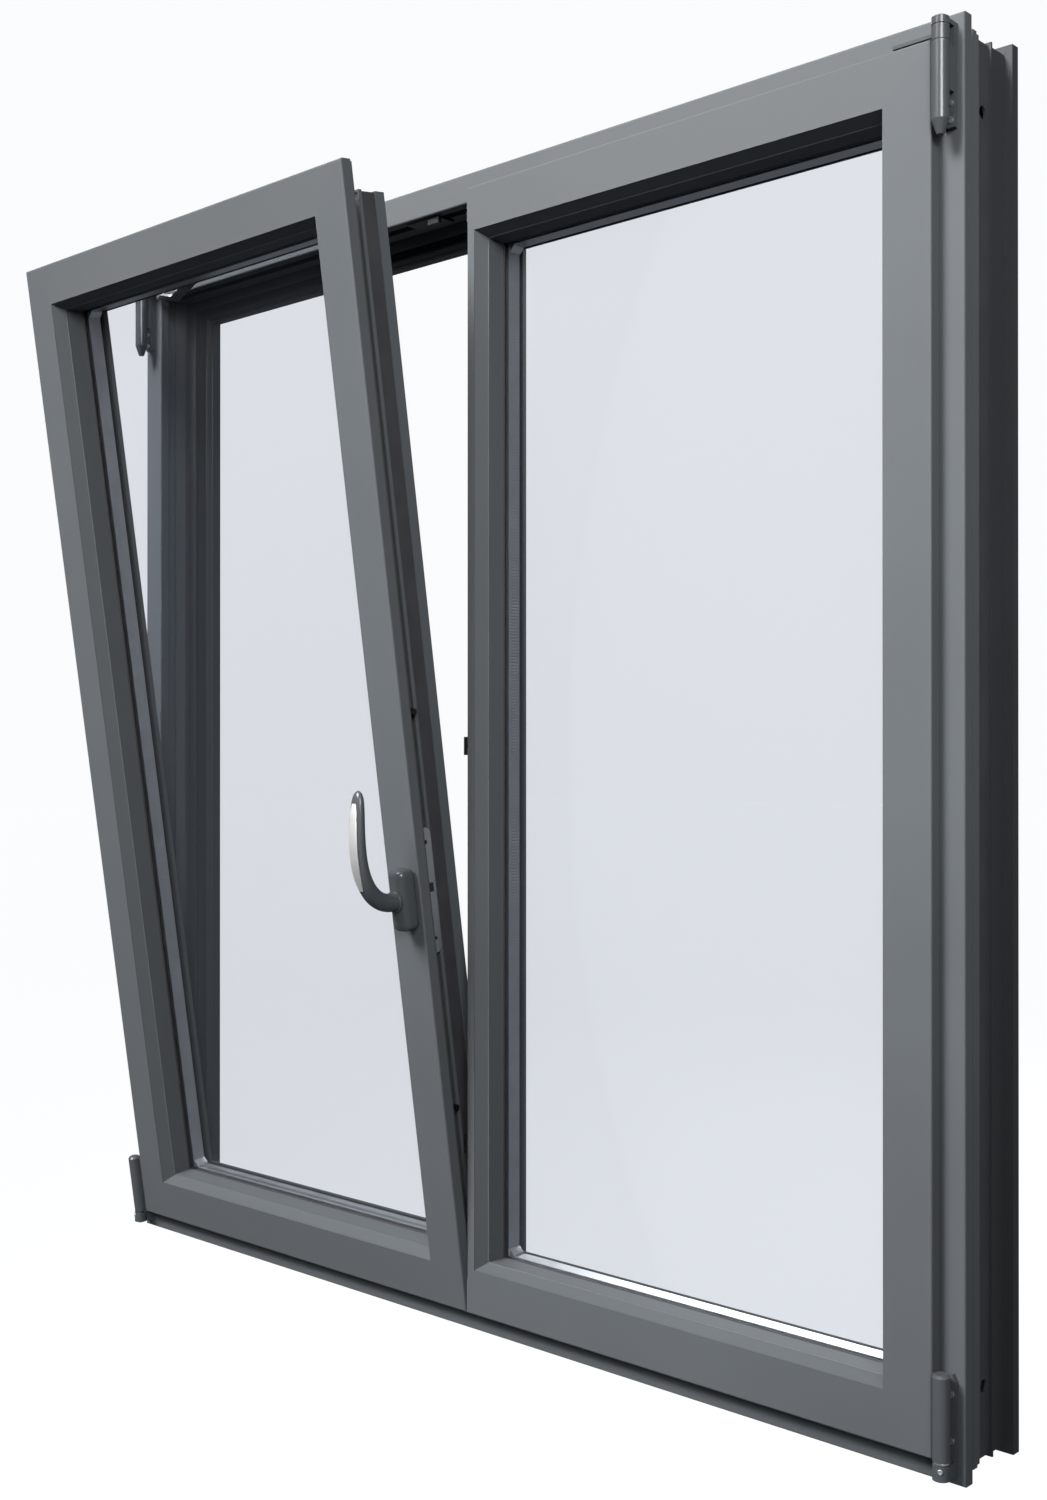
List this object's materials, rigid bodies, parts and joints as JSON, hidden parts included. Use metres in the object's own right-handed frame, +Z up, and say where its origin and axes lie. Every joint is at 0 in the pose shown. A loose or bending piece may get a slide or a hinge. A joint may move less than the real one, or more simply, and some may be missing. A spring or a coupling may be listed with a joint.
{
  "type": "tilt and turn window",
  "caption": "Aluminium double-glazed window with a tilt-and-turn leaf, shown tilted into the room, beside a plain turning leaf, in a flanged frame.",
  "frame": {"origin": "middle of the underside of the sill, on the face that sits on the wall opening", "axes": "+X along the window to the right as seen from the room, +Y from the room to the outside, +Z up"},
  "size_m": [1.15, 0.2782, 1.2],
  "materials": {
    "paint_side": "satin anthracite powder coat",
    "paint_top": "satin anthracite powder coat",
    "break_nylon": "matt glass-filled nylon",
    "gasket_rubber": "matt",
    "zinc": "zinc plated",
    "steel": "satin",
    "inlay": "satin",
    "spacer_metal": "perforated, satin",
    "glass": "clear float glass",
    "black_plastic": "matt"
  },
  "bodies": {
    "frame": {"sill_inner_shell": "paint_side", "head_inner_shell": "paint_top", "left_jamb_inner_shell": "paint_side", "right_jamb_inner_shell": "paint_side", "frame_outer_shells": "paint_side", "frame_thermal_breaks": "break_nylon", "frame_corner_cleats": "zinc", "frame_gaskets": "gasket_rubber", "drain_caps": "paint_side", "frame_keeps": "zinc", "left_stay_bearing": "paint_side", "left_corner_bearing": "paint_side", "right_top_bearing": "paint_side", "right_corner_bearing": "paint_side", "bearing_screws": "steel"},
    "carrier": {"corner_pivot_pin": "steel"},
    "stay_arm": {"stay_arm": "zinc"},
    "left_leaf": {"left_leaf_bottom_rail": "paint_side", "left_leaf_top_rail": "paint_top", "left_leaf_hinge_stile": "paint_side", "left_leaf_lock_stile": "paint_side", "left_leaf_outer_shells": "paint_side", "left_leaf_thermal_breaks": "break_nylon", "left_leaf_beads": "paint_side", "left_leaf_inner_pane": "glass", "left_leaf_outer_pane": "glass", "left_leaf_spacer": "spacer_metal", "left_leaf_gaskets": "gasket_rubber", "left_leaf_packers": "break_nylon", "left_leaf_barrel": "paint_side", "lock_faceplate": "steel", "safety_button": "black_plastic", "stay_guide": "zinc", "handle_housing": "paint_side"},
    "handle": {"handle_lever": "paint_side", "handle_inlay": "inlay", "handle_spindle": "steel"},
    "side_rod": {"side_drive_rod": "steel"},
    "top_rod": {"top_drive_rod": "steel"},
    "bottom_rod": {"bottom_drive_rod": "steel"},
    "right_leaf": {"right_leaf_bottom_rail": "paint_side", "right_leaf_top_rail": "paint_top", "right_leaf_hinge_stile": "paint_side", "right_leaf_meeting_stile": "paint_side", "right_leaf_outer_shells": "paint_side", "right_leaf_thermal_breaks": "break_nylon", "right_leaf_beads": "paint_side", "right_leaf_inner_pane": "glass", "right_leaf_outer_pane": "glass", "right_leaf_spacer": "spacer_metal", "right_leaf_gaskets": "gasket_rubber", "right_leaf_packers": "break_nylon", "right_leaf_barrels": "paint_side", "meeting_cover": "paint_side", "meeting_keeps": "black_plastic"},
    "upper_bolt": {"upper_shoot_bolt": "steel"},
    "lower_bolt": {"lower_shoot_bolt": "steel"}
  },
  "joints": [
    {"name": "left_turn", "type": "hinge", "parent": "frame", "child": "carrier", "pos_m": [-0.5625, -0.0365, 0.01], "axis": [0, 0, -1], "range_deg": [0, 90]},
    {"name": "left_tilt", "type": "hinge", "parent": "carrier", "child": "left_leaf", "pos_m": [-0.5625, -0.0365, 0.017], "axis": [1, 0, 0], "range_deg": [-8.4, 0]},
    {"name": "stay_arm_swing", "type": "hinge", "parent": "carrier", "child": "stay_arm", "pos_m": [-0.5625, -0.0365, 1.171], "axis": [0, -0.044, 0.999], "range_deg": [0, 22.55]},
    {"name": "handle_turn", "type": "hinge", "parent": "left_leaf", "child": "handle", "pos_m": [0.002, -0.09852, 0.44453], "axis": [0, -0.9893, -0.1461], "range_deg": [0, 180]},
    {"name": "side_rod_slide", "type": "slide", "parent": "left_leaf", "child": "side_rod", "axis": [0, -0.1461, 0.9893], "range_m": [-0.036, 0]},
    {"name": "top_rod_slide", "type": "slide", "parent": "left_leaf", "child": "top_rod", "axis": [1, 0, 0], "range_m": [0, 0.036]},
    {"name": "bottom_rod_slide", "type": "slide", "parent": "left_leaf", "child": "bottom_rod", "axis": [1, 0, 0], "range_m": [-0.036, 0]},
    {"name": "right_turn", "type": "hinge", "parent": "frame", "child": "right_leaf", "pos_m": [0.5625, -0.0365, 0.01], "axis": [0, 0, 1], "range_deg": [0, 90]},
    {"name": "upper_bolt_slide", "type": "slide", "parent": "right_leaf", "child": "upper_bolt", "axis": [0, 0, 1], "range_m": [0, 0.012]},
    {"name": "lower_bolt_slide", "type": "slide", "parent": "right_leaf", "child": "lower_bolt", "axis": [0, 0, 1], "range_m": [-0.012, 0]}
  ],
  "couplings": [
    {"joint": "stay_arm_swing", "follows": "left_tilt", "ratio": -2.6836},
    {"joint": "side_rod_slide", "follows": "handle_turn", "m_per_rad": -0.011459},
    {"joint": "top_rod_slide", "follows": "handle_turn", "m_per_rad": 0.011459},
    {"joint": "bottom_rod_slide", "follows": "handle_turn", "m_per_rad": -0.011459},
    {"joint": "right_turn", "follows": "left_turn", "ratio": 1}
  ]
}
